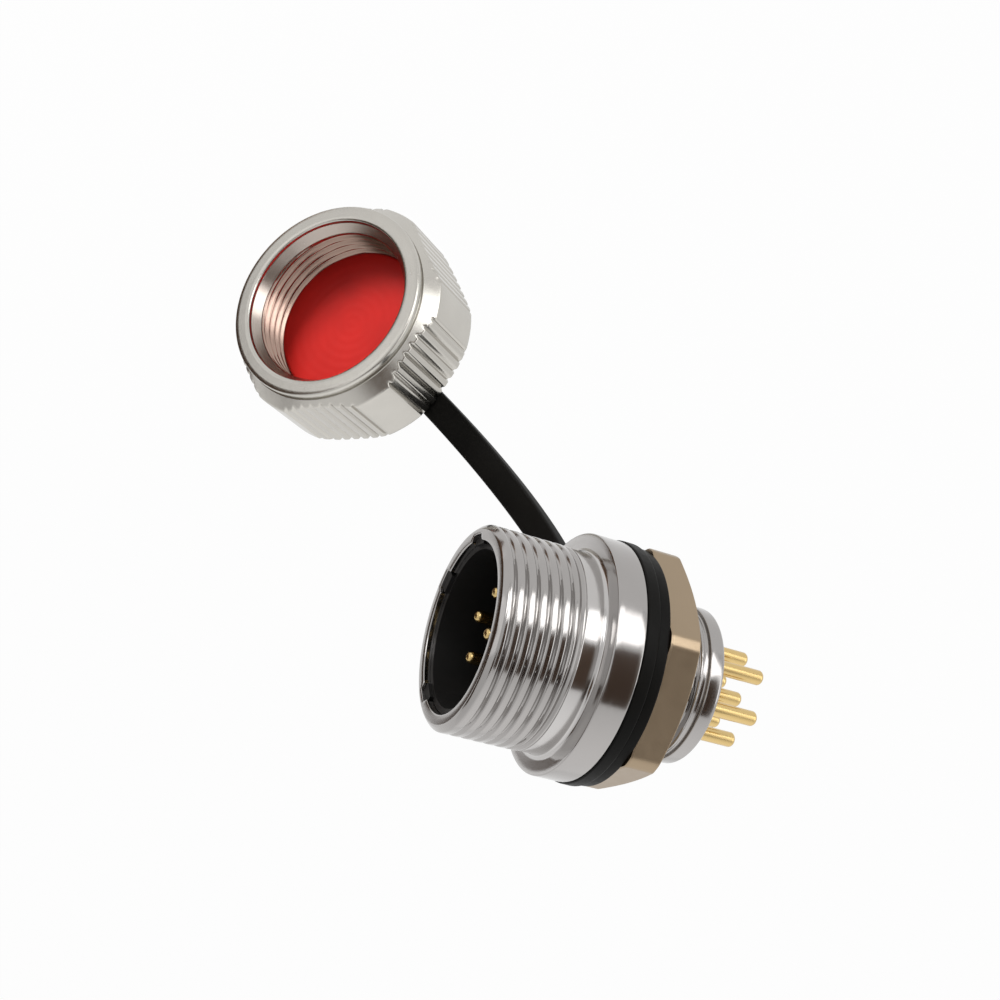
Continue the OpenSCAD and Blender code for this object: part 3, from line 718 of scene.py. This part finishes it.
card_paint = bpy.data.materials.new("card_brown")
card_paint.use_nodes = True
card_shader = card_paint.node_tree.nodes["Principled BSDF"]
card_shader.inputs["Base Color"].default_value = (*CARD_BROWN, 1)
card_shader.inputs["Roughness"].default_value = CARD_ROUGHNESS


def dark_card(name, place, target, up, width, height):
    """A dark card that the metal mirrors and the camera doesn't see."""
    card = plate(name, facing(place, target, up), width, height, card_paint)
    card.visible_camera = False


dark_card("side_card", MIDDLE + seen_from_camera(0.63, -0.26, 0.71) * 420, MIDDLE,
          seen_from_camera(0.24, 0.97, 0), width=0.15, height=0.35)
dark_card("low_card", MIDDLE + seen_from_camera(-0.04, -0.40, 0.92) * 420, MIDDLE,
          CAMERA_UP, width=0.25, height=0.15)
dark_card("front_card", np.array([90.0, -250, -35]), np.array([90.0, 0, -35]),
          ROW_Z, width=0.30, height=0.19)
dark_card("floor_card", np.array([30.0, -160, -128]), np.array([30.0, -160, -200]),
          ROW_Y, width=0.18, height=0.18)

lamp("key_lamp", seen_from_camera(0.69, 0.43, 0.59), far=500, size=0.25, power=0.52)
lamp("fill_lamp", seen_from_camera(-0.75, 0.35, 0.55), far=600, size=0.45, power=0.3)
lamp("side_lamp", seen_from_camera(0.93, -0.10, 0.28), far=500, size=0.30, power=0.34)
top_lamp = lamp("top_lamp", seen_from_camera(0.13, 0.60, 0.80), far=500, size=0.20, power=0.40)
top_lamp.visible_diffuse = False
cap_lamp = lamp("cap_lamp", seen_from_camera(-0.525, 0.820, 0.229), far=170, size=0.06, power=0.26,
                target=CAP_BACK + CAP_Z * SEAL_TOP)
cap_lamp.visible_glossy = False

# World: white where the camera sees it, a brighter window below in what the metal mirrors, and a
# low even light

world = bpy.data.worlds.new("studio_world")
world.use_nodes = True
bpy.context.scene.world = world
world_tree = world.node_tree
backing = world_tree.nodes["Background"]
backing.inputs["Color"].default_value = (1, 1, 1, 1)
way = world_tree.nodes.new("ShaderNodeTexCoord")
towards_window = world_tree.nodes.new("ShaderNodeVectorMath")
towards_window.operation = "DOT_PRODUCT"
towards_window.inputs[1].default_value = seen_from_camera(0.1, -0.98, -0.1)
world_tree.links.new(way.outputs["Generated"], towards_window.inputs[0])
mirrored_sky = world_tree.nodes.new("ShaderNodeMapRange")
mirrored_sky.inputs["From Min"].default_value = WINDOW_EDGE
mirrored_sky.inputs["To Min"].default_value = SKY_MIRRORED
mirrored_sky.inputs["To Max"].default_value = WINDOW_MIRRORED
world_tree.links.new(towards_window.outputs["Value"], mirrored_sky.inputs["Value"])
sky = world_tree.nodes.new("ShaderNodeMapRange")
sky.inputs["To Min"].default_value = SKY_FOR_LIGHT
world_tree.links.new(mirrored_sky.outputs["Result"], sky.inputs["To Max"])
world_tree.links.new(mirrored_or_seen(world_tree), sky.inputs["Value"])
seen_directly = world_tree.nodes.new("ShaderNodeLightPath").outputs["Is Camera Ray"]
strength = math_node(world_tree, "MAXIMUM", sky.outputs["Result"], seen_directly)
world_tree.links.new(strength, backing.inputs["Strength"])

bpy.context.scene.view_settings.view_transform = "Standard"
